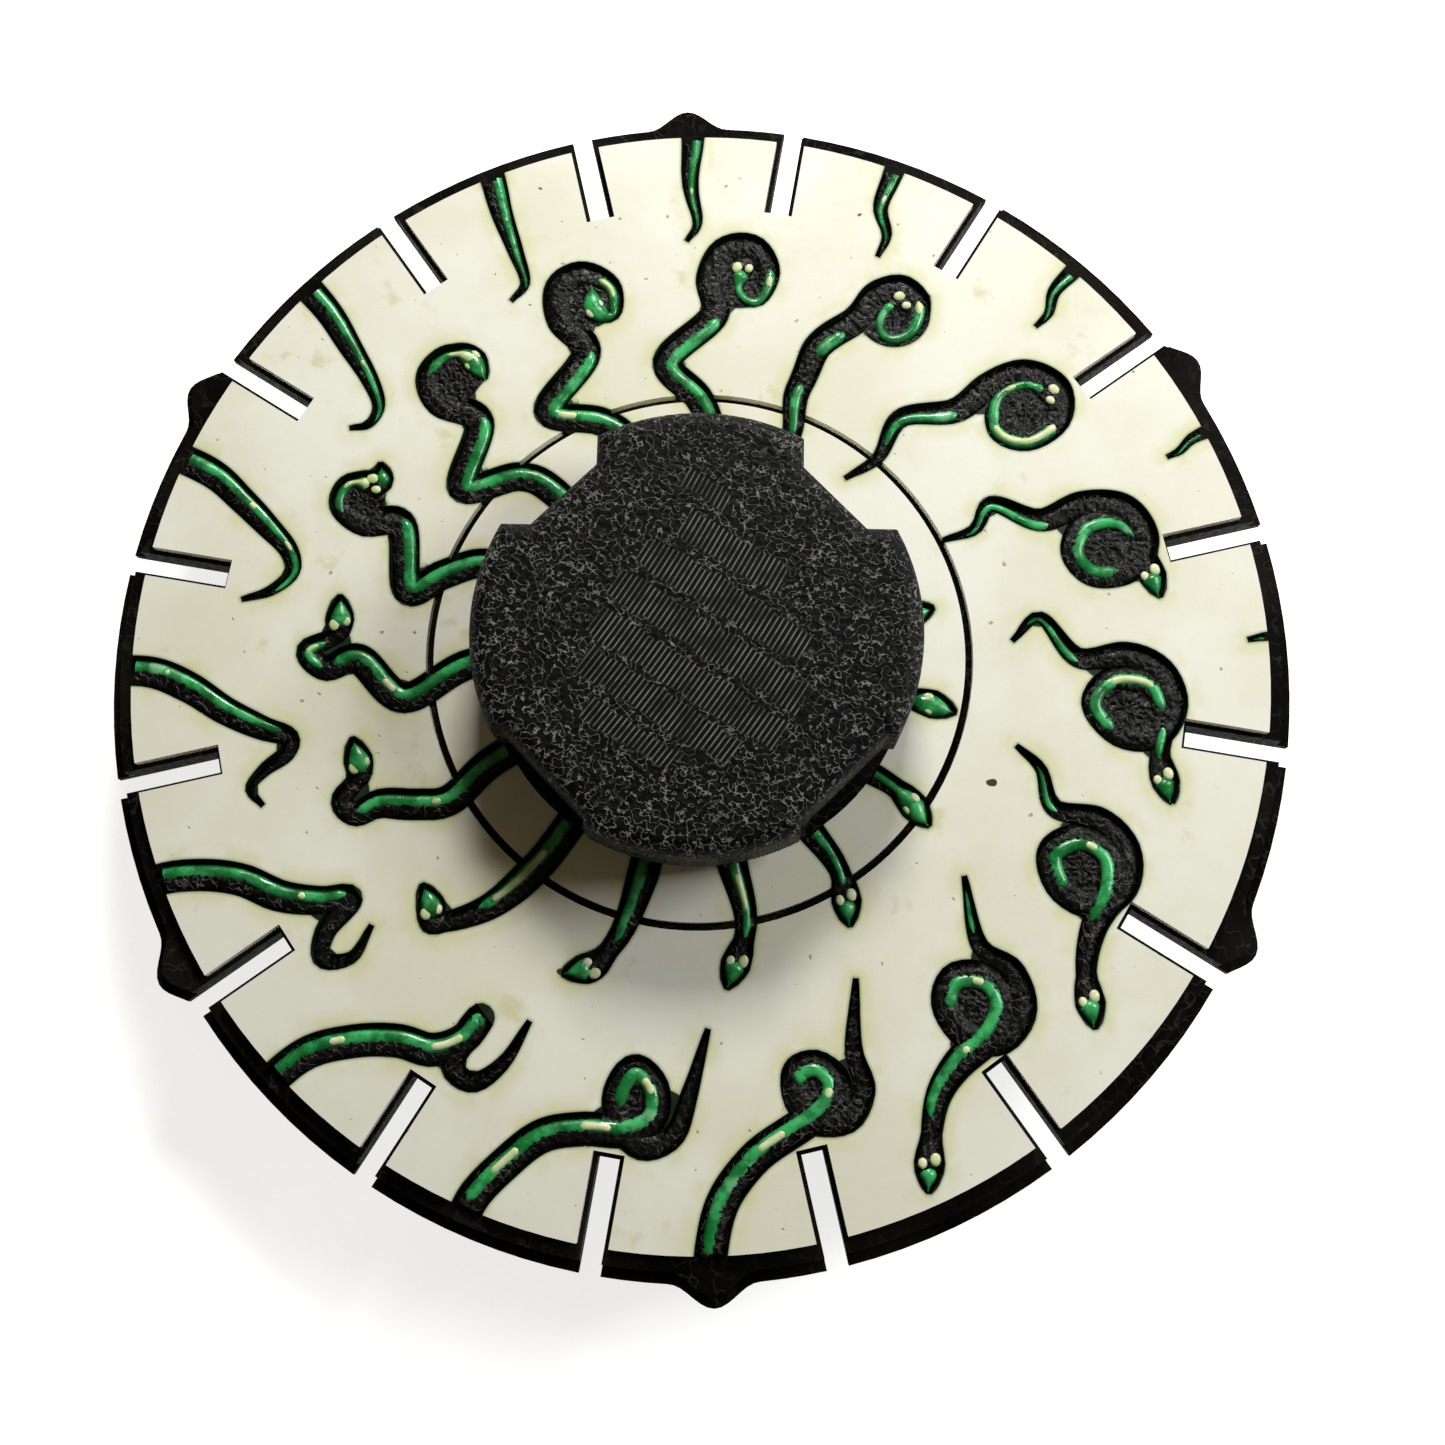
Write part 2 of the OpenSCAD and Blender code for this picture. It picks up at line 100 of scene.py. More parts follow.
# Key poses of the snakes, tail to head, in their own sector: x is clockwise, y is outwards
KEYS = [
    [1, [[-1.5, 11], [-2, 14.5], [-3, 18]]],
    [5, [[-1.5, 11], [-2, 15.5], [-3, 20.5], [-1.5, 25]]],
    [7, [[-1.5, 11], [-2, 15.5], [-2.5, 20], [-2, 24.5], [0, 28], [1.2, 27.4], [2.7, 26.8]]],
    [8, [[-0.7, 11], [-1.3, 17.5], [-2.7, 21.5], [-2, 24], [-0.8, 26.5], [-0.8, 28.4], [0.6, 29],
         [1.9, 27.1], [4.6, 26.6]]],
    [9, [[0, 11], [-0.4, 17.5], [-2.9, 22.5], [0.2, 26], [-0.4, 28.5], [1, 30], [2.3, 27.8],
         [5.2, 27.6]]],
    [10, [[0.5, 11], [0.8, 17.5], [-1.2, 20.6], [-3.4, 22.8], [1.2, 25.4], [0.3, 28.2], [1, 30.5],
         [2.9, 30.6], [3.8, 28.4], [5.2, 28.9]]],
    [11, [[1, 11], [1.5, 17], [0.5, 20], [-3.2, 22.6], [1.5, 25.5], [0.5, 29], [1.4, 31.3],
         [3.6, 31.6], [4.8, 30.2], [4.4, 27.8]]],
    [12, [[1.5, 11], [2, 17], [0.5, 20.2], [-3, 22.8], [1.6, 26], [0.9, 29.5], [1.8, 32.1],
         [4, 32.5], [5.6, 30.6], [4.9, 28.4], [3.8, 29.4], [4.3, 31.4]]],
    [13, [[1.5, 11], [1.5, 17], [0.5, 20.5], [-2, 23.8], [1.8, 27.6], [1.6, 30.8], [2.8, 33.2],
         [5, 33.4], [6.2, 31.3], [5.3, 29.1], [4, 29.8], [4.2, 31.7], [5.5, 33.4]]],
    [15, [[-1.3, 18], [-0.6, 21], [-1.5, 24.6], [1.2, 28], [1.8, 31.5], [3.2, 34.2], [5.8, 34.9],
         [7.4, 33], [6.8, 30.3], [4.8, 29.4], [3.2, 31.2], [3.8, 33.6], [6, 34.4], [7.8, 34]]],
    [16, [[-0.4, 21], [-0.2, 23.5], [-1.5, 25.6], [1.2, 28.4], [1.4, 32], [3, 34.8], [5.8, 35.1],
         [7.4, 33], [6.7, 30.4], [4.6, 29.8], [3, 31.6], [3.6, 33.9], [5.8, 34.8], [8, 34.4],
         [10.4, 34.1]]],
    [17, [[-0.3, 24], [-2, 26.2], [1.2, 28.8], [1.1, 32.6], [2.4, 35], [5, 35.7], [7.2, 34.2],
         [7, 31.6], [4.8, 30], [3, 31.6], [3.4, 34.2], [5.8, 35], [9, 34.4], [12.4, 35]]],
    [18, [[-1.8, 25], [-0.8, 27.2], [1.6, 29], [1.2, 32.5], [2.6, 35], [5.2, 35.6], [7.2, 34],
         [6.9, 31.4], [4.8, 30], [3, 31.7], [3.5, 34], [5.8, 34.9], [9, 34.5], [12.2, 35],
         [15.6, 36.8]]],
    [19, [[-1.2, 26], [1.7, 30], [1.4, 33], [3, 35.4], [5.6, 35.6], [7, 33.6], [6.5, 31.2],
         [4.7, 30.4], [3.2, 32], [3.7, 34], [6, 34.8], [9, 34.5], [11.8, 35], [14.6, 36.8],
         [17, 38.8]]],
    [21, [[0, 28], [1.4, 32.4], [2.6, 35.2], [4.8, 35.9], [6.4, 34.3], [6.5, 32.2], [5.3, 30.7],
         [4, 32], [4.2, 34], [6.2, 34.8], [9, 34.6], [12, 35], [14.6, 36.8], [17, 39.2], [18, 42],
         [18.3, 45]]],
    [22, [[1.6, 30], [2.2, 33.2], [3.7, 35.3], [5.6, 34.8], [5.5, 32.4], [5, 30.9], [5.6, 32.8],
         [7.4, 34.3], [10, 34.6], [13, 35.8], [16, 38], [18, 42], [18.3, 45]]],
    [23, [[3.3, 31.5], [2.7, 34], [4.2, 35.6], [5.5, 34], [5.9, 31.2], [7.4, 32.8], [9.8, 34.6],
         [12.8, 35.8], [15.4, 37.8], [17.4, 40.4], [18.2, 44]]],
    [24, [[2.7, 34.6], [4.2, 35], [5.1, 33.5], [5.6, 31.6], [6.7, 31], [8.2, 32.6], [10.6, 34.7],
         [13.4, 36.6], [15.8, 39], [17.6, 43]]],
    [25, [[5.2, 35.1], [5.8, 33], [7.2, 31.4], [9, 31.7], [11, 33.4], [13.2, 35.5], [15.5, 38],
         [17.8, 42.5]]],
    [26, [[7.1, 32.3], [7.9, 31.1], [9.6, 31], [11.4, 32.6], [13.4, 35.2], [15.6, 38.2],
         [17.8, 42.5]]],
    [27, [[10.6, 31], [12.4, 31.3], [13.8, 33.8], [15.4, 37], [17.2, 40], [18.6, 43]]],
    [29, [[15.2, 32.4], [16, 34.2], [15.6, 36.6], [16.6, 39.2], [18.2, 43]]],
    [32, [[16.2, 38.7], [16.6, 40.2], [17.8, 43.2]]],
]
# Where each green stripe shows, as shares of the length from the tail, and how far it lies to the
# clockwise side of the middle. A pose that is not listed shows it from 0.12 to the rim.
STRIPES = {
    1: [(0.1, 1, 0)], 2: [(0.1, 1, 0)], 3: [(0.1, 1, -0.2)], 4: [(0.1, 0.75, -0.25), (0.86, 1, 0)],
    5: [(0.1, 0.72, -0.1), (0.87, 1, 0)], 6: [(0.1, 0.7, 0.2), (0.88, 1, 0)],
    7: [(0.1, 0.68, 0.35), (0.89, 1, 0)], 8: [(0.1, 0.73, 0.25), (0.9, 1, 0)],
    9: [(0.1, 0.69, 0.3), (0.74, 0.85, 0), (0.92, 1, 0)], 10: [(0.1, 0.63, 0.3),
    (0.79, 0.92, -0.15), (0.95, 1, 0)], 11: [(0.1, 0.61, 0.35), (0.81, 1, 0)],
    12: [(0.1, 0.54, 0.35), (0.8, 1, 0)], 13: [(0.1, 0.51, 0.3), (0.78, 0.94, -0.25)],
    14: [(0.14, 0.27, 0), (0.36, 0.45, 0.3), (0.69, 0.91, -0.25)], 15: [(0.12, 0.3, 0.15),
    (0.63, 0.92, -0.25)], 16: [(0.05, 0.25, 0.3), (0.58, 0.86, 0.2), (0.95, 1, 0)],
    17: [(0.05, 0.18, 0.2), (0.57, 0.82, 0), (0.85, 0.91, -0.1), (0.95, 1, 0)],
    18: [(0.05, 0.14, 0), (0.49, 0.81, 0.3), (0.955, 1, 0)], 19: [(0.03, 0.1, 0),
    (0.46, 0.87, 0.3), (0.96, 1, 0)], 20: [(0.42, 0.95, 0.2)], 21: [(0.33, 0.86, 0.2)],
    22: [(0.34, 0.88, 0.25)], 23: [(0.36, 0.9, 0.3)], 24: [(0.33, 0.92, 0.35)],
}
# Pale patches of filament along the stripes: from and to, as shares of the length
PATCHES = {
    5: [(0.4, 0.6)], 7: [(0.36, 0.64)], 8: [(0.46, 0.5)], 9: [(0.48, 0.54), (0.79, 0.83)],
    10: [(0.85, 0.92)], 11: [(0.87, 0.94)], 12: [(0.31, 0.36), (0.81, 0.86)], 13: [(0.79, 0.82)],
    14: [(0.69, 0.72)], 15: [(0.63, 0.77), (0.84, 0.87)], 17: [(0.68, 0.77)], 18: [(0.63, 0.66)],
    19: [(0.55, 0.58), (0.73, 0.75)], 20: [(0.53, 0.56), (0.66, 0.73)], 21: [(0.42, 0.46),
    (0.57, 0.63), (0.74, 0.8)], 22: [(0.41, 0.5), (0.68, 0.72)], 23: [(0.46, 0.49)],
    24: [(0.74, 0.77)], 25: [(0.3, 0.36), (0.52, 0.57)], 26: [(0.4, 0.44)], 27: [(0.5, 0.54)],
    28: [(0.35, 0.41)], 29: [(0.45, 0.52)], 30: [(0.6, 0.66)],
}
# Half width of a body, against the distance from its tail's tip and from its head's tip
TAIL_W = ([0, 2, 5, 10, 16, 90], [0.1, 0.28, 0.52, 0.85, 1.05, 1.05])
HEAD_W = ([0, 0.7, 1.7, 2.7, 3.6, 6, 10, 90], [0.12, 0.62, 1, 0.85, 0.6, 0.75, 1.05, 1.05])
# A coil's hollow, against the snake's number: its radius, and its middle in the sector
COIL_R = ([10, 12, 15, 18, 20, 21], [1.6, 2.4, 3, 2.6, 2.4, 1.9])
COIL_X = ([10, 12, 15, 21], [2, 3.5, 5, 5.2])
COIL_Y = ([10, 12, 15, 21], [29, 30.3, 32.1, 33])


# ---------------------------------------------------------------------------
# Materials
# ---------------------------------------------------------------------------
def linear(code):
    """An sRGB hex colour as linear RGBA: c/12.92 up to 0.04045, else ((c + 0.055)/1.055)^2.4."""
    out = []
    for i in (1, 3, 5):
        c = int(code[i:i + 2], 16) / 255
        out.append(c / 12.92 if c <= 0.04045 else ((c + 0.055) / 1.055) ** 2.4)
    return (*out, 1.0)


def link(tree, source, target):
    tree.links.new(source, target)


def add(tree, kind, **settings):
    """Adds a node; a setting names an input to fill or link, or else a property of the node."""
    node = tree.nodes.new(kind)
    for key, value in settings.items():
        name = key.replace("_", " ")
        alike = (s for s in node.inputs if s.name.lower() == name.lower())
        socket = node.inputs.get(name) or next(alike, None)
        if hasattr(node, key):
            setattr(node, key, value)
        elif isinstance(value, bpy.types.NodeSocket):
            link(tree, value, socket)
        else:
            socket.default_value = value
    return node


def material(name, **constants):
    """A new material with its Principled shader's constants set straight on the sockets."""
    mat = bpy.data.materials.new(name)
    mat.use_nodes = True
    shader = mat.node_tree.nodes["Principled BSDF"]
    for key, value in constants.items():
        shader.inputs[key.replace("_", " ")].default_value = value
    return mat, mat.node_tree, shader


def ramp(tree, value, low, high, start=0.0, end=1.0):
    """Maps value from start..end to low..high, clamped and smooth."""
    node = add(tree, "ShaderNodeMapRange", interpolation_type="SMOOTHSTEP", Value=value)
    for key, number in (("From Min", start), ("From Max", end), ("To Min", low), ("To Max", high)):
        node.inputs[key].default_value = number
    return node.outputs["Result"]


def blend(tree, factor, a, b):
    """Mixes two colours, each a hex code or a socket."""
    node = add(tree, "ShaderNodeMix", data_type="RGBA", Factor=factor)
    for value, socket in ((a, node.inputs[6]), (b, node.inputs[7])):
        if isinstance(value, str):
            socket.default_value = linear(value)
        else:
            link(tree, value, socket)
    return node.outputs[2]


def grain(tree, scale, detail=3.0, roughness=0.55, stretch=(1, 1, 1)):
    """Noise on object coordinates, scale in cycles per metre."""
    where = add(tree, "ShaderNodeTexCoord").outputs["Object"]
    spread = add(tree, "ShaderNodeMapping", Vector=where)
    spread.inputs["Scale"].default_value = stretch
    cloud = add(tree, "ShaderNodeTexNoise", Vector=spread.outputs["Vector"], Scale=scale,
                Detail=detail)
    cloud.inputs["Roughness"].default_value = roughness
    return cloud.outputs["Fac"]


def bump(tree, shader, height, distance):
    """Bumps the shader's normal by height over the given distance in metres."""
    node = add(tree, "ShaderNodeBump", Height=height, Strength=1.0, Distance=distance)
    link(tree, node.outputs["Normal"], shader.inputs["Normal"])


def attribute(tree, name):
    return add(tree, "ShaderNodeAttribute", attribute_name=name).outputs["Fac"]


def maths(tree, operation, a, b=0.0):
    """One math node; each operand is a socket or a number."""
    node = add(tree, "ShaderNodeMath", operation=operation)
    for value, socket in ((a, node.inputs[0]), (b, node.inputs[1])):
        if isinstance(value, bpy.types.NodeSocket):
            link(tree, value, socket)
        else:
            socket.default_value = value
    return node.outputs[0]


def maze(tree, cell, width):
    """Thin winding lines: 1 where noise passes through one half, falling to 0 at width from it."""
    off = maths(tree, "ABSOLUTE", maths(tree, "SUBTRACT", grain(tree, cell, 1.0, 0.4), 0.5))
    return ramp(tree, off, 1, 0, 0.0, width)


def black_print(name, low, high, line, gloss, roughness, cell, depth):
    """Black PLA off a filament printer: satin, with winding ridges from the nozzle, and grain; the
    ridge lines take the lighter line colour as a painted highlight.
    """
    mat, tree, shader = material(name, Specular_IOR_Level=gloss)
    fine = grain(tree, 2200, 3)
    share = ramp(tree, grain(tree, 160, 2), 0.15, 1, 0.42, 0.6)
    ridge = maths(tree, "MULTIPLY", maze(tree, cell, 0.05), share)
    tint = blend(tree, ramp(tree, grain(tree, 120, 2), 0, 1, 0.35, 0.65), low, high)
    # painted highlight: the ridge lines are blended towards the lighter line colour
    link(tree, blend(tree, ridge, tint, line), shader.inputs["Base Color"])
    link(tree, ramp(tree, fine, *roughness, 0.35, 0.65), shader.inputs["Roughness"])
    bump(tree, shader, maths(tree, "ADD", ridge, maths(tree, "MULTIPLY", fine, 0.35)), depth)
    return mat


def pad_print():
    """Black PLA of the finger pads: a maze of fine ridges, and rows of ribs in the bands; the
    raised parts are painted lighter, partly wear and partly painted highlight.
    """
    mat, tree, shader = material("black_pla_wrinkled_pad", Specular_IOR_Level=0.14)
    ridge = maze(tree, 1950, 0.055)
    turns = maths(tree, "MULTIPLY", attribute(tree, "along"), 2 * math.pi / RIB_PITCH)
    rib = ramp(tree, maths(tree, "COSINE", turns), 0, 1, 0.2, 0.95)
    rib = maths(tree, "MULTIPLY", rib, ramp(tree, grain(tree, 900, 2), 0.6, 1, 0.35, 0.6))
    band = attribute(tree, "band")
    skin = maths(tree, "MULTIPLY", ridge, maths(tree, "SUBTRACT", 1.0, band))
    height = maths(tree, "ADD", skin, maths(tree, "MULTIPLY", rib, band))
    # raised ridges and ribs painted lighter: partly wear, partly painted highlight
    wear_and_highlight = maths(tree, "MULTIPLY", height, ramp(tree, grain(tree, 450, 3), 0.5, 1, 0.35, 0.6))
    link(tree, blend(tree, wear_and_highlight, "#030303", "#807f7d"), shader.inputs["Base Color"])
    link(tree, ramp(tree, grain(tree, 2500, 2), 0.45, 0.65, 0.35, 0.65), shader.inputs["Roughness"])
    bump(tree, shader, height, 0.00012)
    return mat


def cream_print():
    """Cream PLA, smooth first layer: faint clouds, pits, specks, green bleed by the snakes, and a
    dark band at their outlines that is partly black filament and partly painted shade.
    """
    mat, tree, shader = material("cream_pla_smooth_first_layer", Specular_IOR_Level=0.4)
    clouds = ramp(tree, grain(tree, 70, 3), 0, 1, 0.35, 0.68)
    base = blend(tree, clouds, "#f7f6e8", "#edebd5")
    patches = ramp(tree, grain(tree, 210, 4, 0.65), 0, 1, 0.62, 0.74)
    base = blend(tree, patches, base, "#e2deb9")
    edge = attribute(tree, "edge")
    near = ramp(tree, edge, 0.6, 0, 0.1, 1.8)
    stain = maths(tree, "MULTIPLY", near, ramp(tree, grain(tree, 330, 3), 0.1, 1, 0.4, 0.62))
    base = blend(tree, stain, base, "#dcdb98")
    bleed = ramp(tree, edge, 0.55, 0, 0.12, 0.42)
    base = blend(tree, bleed, base, "#5f8a3a")
    # dark band along the snakes' outlines: partly black filament, partly painted shade of the
    # recess
    wall = ramp(tree, edge, 1, 0, 0.125, 0.2)
    base = blend(tree, wall, base, "#0a1f0d")
    pits = ramp(tree, grain(tree, 1500, 2, 0.4), 0, 1, 0.73, 0.79)
    base = blend(tree, pits, base, "#b6b18c")
    specks = ramp(tree, grain(tree, 620, 1, 0.3), 0, 1, 0.8, 0.83)
    base = blend(tree, specks, base, "#3a3420")
    link(tree, base, shader.inputs["Base Color"])
    link(tree, ramp(tree, grain(tree, 900, 3), 0.38, 0.56, 0.35, 0.65), shader.inputs["Roughness"])
    bump(tree, shader, pits, -0.00003)
    return mat


def green_print():
    """Silk green PLA: glossy, paler on top of the rib and dark where it dips, the dark sides being
    painted shade, and with pale spots of painted highlight.
    """
    mat, tree, shader = material("green_silk_pla", Specular_IOR_Level=0.6, Coat_Weight=0.35,
                                 Coat_Roughness=0.18)
    across = attribute(tree, "dome")
    body = blend(tree, ramp(tree, grain(tree, 420, 3), 0, 1, 0.4, 0.6), "#0b7c34", "#3cbb68")
    # painted shade: the stripe darkens towards its sides, where the dome falls away
    body = blend(tree, ramp(tree, across, 0.95, 0, 0.1, 0.6), body, "#03361a")
    body = blend(tree, ramp(tree, grain(tree, 900, 2), 0.5, 0, 0.4, 0.5), body, "#065226")
    # painted highlight: pale spots on the glossy green
    pale = ramp(tree, grain(tree, 300, 2, 0.4), 0, 0.75, 0.66, 0.74)
    body = blend(tree, pale, body, "#8fd9a0")
    link(tree, body, shader.inputs["Base Color"])
    link(tree, ramp(tree, grain(tree, 700, 2), 0.22, 0.42, 0.35, 0.65), shader.inputs["Roughness"])
    bump(tree, shader, grain(tree, 1500, 3), 0.00006)
    return mat


def pale_print():
    """Pale cream-green PLA of the eyes and spots, glossy like the stripe round it."""
    mat, tree, shader = material("pale_pla_spots", Specular_IOR_Level=0.5)
    tint = blend(tree, ramp(tree, grain(tree, 900, 3), 0, 1, 0.35, 0.65), "#f0efc4", "#c8de96")
    link(tree, tint, shader.inputs["Base Color"])
    link(tree, ramp(tree, grain(tree, 1300, 2), 0.25, 0.45, 0.35, 0.65), shader.inputs["Roughness"])
    return mat


def metal(name, low, high, roughness, stretch=(1, 1, 1)):
    """Bare metal with a fine finish: ground, pressed or turned."""
    mat, tree, shader = material(name, Metallic=1.0)
    fine = grain(tree, 900, 3, stretch=stretch)
    tint = blend(tree, ramp(tree, fine, 0, 1, 0.35, 0.65), low, high)
    link(tree, tint, shader.inputs["Base Color"])
    link(tree, ramp(tree, fine, *roughness, 0.35, 0.65), shader.inputs["Roughness"])
    bump(tree, shader, fine, 0.000004)
    return mat


# the third colour of each black is a painted highlight on its ridge lines
BLACK = black_print("black_pla_satin", "#080706", "#181613", "#2c2926",
                    gloss=0.03, roughness=(0.5, 0.7), cell=900, depth=0.00006)
BODY_BLACK = black_print("black_pla_rough_recess", "#030303", "#0e0e0c", "#52504b",
                         gloss=0.25, roughness=(0.32, 0.5), cell=1300, depth=0.00014)
PAD_BLACK = pad_print()
CREAM = cream_print()
GREEN = green_print()
PALE = pale_print()
RACE = metal("ground_bearing_steel", "#b9bbbd", "#d5d6d8", (0.16, 0.28), (1, 1, 9))
BALL = metal("polished_bearing_steel", "#d2d3d5", "#e0e1e3", (0.05, 0.1))
SHIELD = metal("pressed_satin_steel", "#9b9da0", "#b7b9bb", (0.3, 0.42))
CAGE = metal("pressed_brass", "#a8853f", "#c9a55c", (0.25, 0.4))
PIN = metal("turned_steel", "#a9abad", "#c6c7c9", (0.2, 0.34), (1, 1, 12))


# ---------------------------------------------------------------------------
# Mesh helpers
# ---------------------------------------------------------------------------
def piece(name, points, faces, mat, body, slot, **attributes):
    """A smooth mesh from points in millimetres, with per-point attributes, riding on a CAD body."""
    mesh = bpy.data.meshes.new(name)
    mesh.from_pydata((points * MM).tolist(), [], [list(f) for f in faces])
    for key, values in attributes.items():
        layer = mesh.attributes.new(key, "FLOAT", "POINT")
        layer.data.foreach_set("value", np.asarray(values, np.float32))
    mesh.polygons.foreach_set("use_smooth", np.ones(len(mesh.polygons), bool))
    mesh.materials.append(mat)
    obj = bpy.data.objects.new(name, mesh)
    bpy.context.scene.collection.objects.link(obj)
    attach(obj, body)
    return obj


def grid_faces(rows, cols):
    """Quads of a rows x cols sheet of points, row by row, with normal column step x row step."""
    i = np.arange(rows - 1)[:, None] * cols + np.arange(cols - 1)[None, :]
    return np.stack([i, i + 1, i + cols + 1, i + cols], -1).reshape(-1, 4)


def merged(node):
    """A CAD node's points in millimetres with doubles joined, and its triangles."""
    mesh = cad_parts[node].data
    points = np.zeros(len(mesh.vertices) * 3, np.float32)
    mesh.vertices.foreach_get("co", points)
    corners = np.zeros(len(mesh.loops), np.int32)
    mesh.loops.foreach_get("vertex_index", corners)
    keys = np.round(points.reshape(-1, 3) / MM, 3)
    unique, back = np.unique(keys, axis=0, return_inverse=True)
    tris = back.reshape(-1)[corners].reshape(-1, 3)
    good = (tris[:, 0] != tris[:, 1]) & (tris[:, 1] != tris[:, 2]) & (tris[:, 0] != tris[:, 2])
    return unique, tris[good]


def soften(obj, width):
    """A small rounded edge wherever two faces meet at more than 40 degrees."""
    edge = obj.modifiers.new("rounded_edges", "BEVEL")
    edge.width = width * MM
    edge.segments = 2
    edge.limit_method = "ANGLE"
    edge.angle_limit = math.radians(40)
    edge.harden_normals = True


def random_grid(seed):
    return np.random.default_rng(seed).random((NOISE_SIZE, NOISE_SIZE))


def noise(x, y, grid):
    """Value noise: random lattice values blended by 3t^2 - 2t^3 along each axis, from 0 to 1."""
    i, j = np.floor(x).astype(int), np.floor(y).astype(int)
    a, b = x - i, y - j
    a, b = a * a * (3 - 2 * a), b * b * (3 - 2 * b)
    i, j = i % NOISE_SIZE, j % NOISE_SIZE
    k, m = (i + 1) % NOISE_SIZE, (j + 1) % NOISE_SIZE
    low = grid[i, j] * (1 - a) + grid[k, j] * a
    high = grid[i, m] * (1 - a) + grid[k, m] * a
    return low * (1 - b) + high * b


def worms(x, y, pitch, seed):
    """Maze-like ridges: exp(-(d/0.09)^2), d being two octaves of value noise less one half."""
    n = 0.62 * noise(x / pitch, y / pitch, random_grid(seed))
    n += 0.38 * noise(x / pitch * 1.9 + 7, y / pitch * 1.9 + 3, random_grid(seed + 1))
    return np.exp(-((n - 0.5) / 0.09) ** 2)


# ---------------------------------------------------------------------------
# Snakes
# ---------------------------------------------------------------------------
def spline(points, u):
    """Catmull-Rom curve: 0.5(2b + t(c-a) + t^2(2a-5b+4c-d) + t^3(3b-a-3c+d))."""
    p = np.array(points, float)
    p = np.vstack([2 * p[0] - p[1], p, 2 * p[-1] - p[-2]])
    n = len(p) - 3
    s = np.minimum(u * n, n - 1e-4)
    i = s.astype(int)
    t = (s - i)[:, None]
    a, b, c, d = p[i], p[i + 1], p[i + 2], p[i + 3]
    square, cube = 2 * a - 5 * b + 4 * c - d, 3 * b - a - 3 * c + d
    return 0.5 * (2 * b + t * (c - a) + t ** 2 * square + t ** 3 * cube)


def centreline(f, step):
    """Points of snake f at even steps from tail to head, in its own sector, and their distances."""
    i = max(k for k in range(len(KEYS) - 1) if KEYS[k][0] <= f)
    m = (f - KEYS[i][0]) / (KEYS[i + 1][0] - KEYS[i][0])
    u = np.linspace(0, 1, 1200)
    p = (1 - m) * spline(KEYS[i][1], u) + m * spline(KEYS[i + 1][1], u)
    s = np.concatenate([[0], np.cumsum(np.hypot(*np.diff(p, axis=0).T))])
    even = np.linspace(0, s[-1], max(8, int(s[-1] / step)))
    return np.stack([np.interp(even, s, p[:, 0]), np.interp(even, s, p[:, 1])], 1), even


def half_width(f, s):
    """Half width of a body: the smaller of the tail's and the head's width tables."""
    extra = max(0, TAIL_SHOWS - f) * HIDDEN_TAIL
    w = np.interp(s + extra, *TAIL_W)
    return np.minimum(w, np.interp(s[-1] - s, *HEAD_W)) if f <= LAST_HEAD else w


def stripe_width(f, s):
    """Half width of the green stripe: 0.45 of the body's, and nearly all of the head's."""
    w = half_width(f, s)
    wide = np.maximum(0.08, w - 0.2)
    thin = np.maximum(0.06, w * 0.45)
    if f > LAST_HEAD:
        return thin
    return thin + (wide - thin) * np.clip((HEAD_L + 0.4 - (s[-1] - s)) / 0.8, 0, 1)


def stripe_windows(f):
    """Where snake f's stripe shows: from, to and how far aside, for each window."""
    return STRIPES.get(f, [(0.12, 1, 0.3)])


def middling(f, s):
    """0 where a stripe keeps to the middle, on thin tails and on heads, and 1 elsewhere."""
    extra = max(0, TAIL_SHOWS - f) * HIDDEN_TAIL
    share = np.interp(s + extra, [4, 9], [0, 1])
    return share * np.interp(s[-1] - s, [3, 6], [0, 1]) if f <= LAST_HEAD else share


def in_disc(points, f):
    """Sector points turned about Z into their place on the disc."""
    a = math.radians(-SLOT_PITCH * (f - 1 + FIRST_SECTOR))
    x, y = points[..., 0], points[..., 1]
    return np.stack([x * math.cos(a) - y * math.sin(a), x * math.sin(a) + y * math.cos(a)], -1)


def sides(p):
    """Unit normals of a line of points, on the clockwise side."""
    t = np.gradient(p, axis=0)
    t /= np.linalg.norm(t, axis=1)[:, None]
    return np.stack([t[:, 1], -t[:, 0]], 1)


def on_face(x, y):
    """True inside the pale face's ring."""
    r = np.hypot(x, y)
    return (r < FACE_R - 0.05) & (r > HUB_R + 0.02)


def keep_quads(points, faces):
    """Only the quads whose four corners lie on the face, with unused points dropped."""
    good = on_face(points[:, 0], points[:, 1])[faces].all(1)
    faces = faces[good]
    used, back = np.unique(faces, return_inverse=True)
    return used, back.reshape(faces.shape)


def body_strip(f):
    """Points and quads of a rough black body: a low dome with ribs across it and strands along it.

    z = floor + 0.05 + t sqrt(1 - v^2) (0.36 + 0.16 u + relief), v across from -1 to 1, u along from
    0 to 1, and t the body's width as a share of its full width.
    """
    p, s = centreline(f, BODY_STEP)
    w = half_width(f, s)
    v = np.linspace(-1, 1, 17)
    place = p[:, None] + sides(p)[:, None] * (w[:, None] * v)[..., None]
    xy = in_disc(place, f)
    dome = np.sqrt(np.maximum(0, 1 - v ** 2))[None, :]
    u = (s / s[-1])[:, None]
    thick = np.clip(w / TAIL_W[1][-1], 0.15, 1)[:, None]
    x, y = xy[..., 0], xy[..., 1]
    rough = worms(x, y, 0.42, 11) * 0.14 + noise(x / 0.2, y / 0.2, random_grid(5)) * 0.06
    ribbed = np.clip(noise(s / 4.5, s * 0 + f, random_grid(3)) * 3 - 1.3, 0, 1)[:, None]
    ribs = np.cos(2 * np.pi * s / 0.52)[:, None] * ribbed
    z = FACE_Z + 0.05 + thick * dome * (0.36 + 0.16 * u + rough + 0.05 * ribs)
    points = np.concatenate([xy, z[..., None]], -1).reshape(-1, 3)
    return points, grid_faces(len(s), len(v))


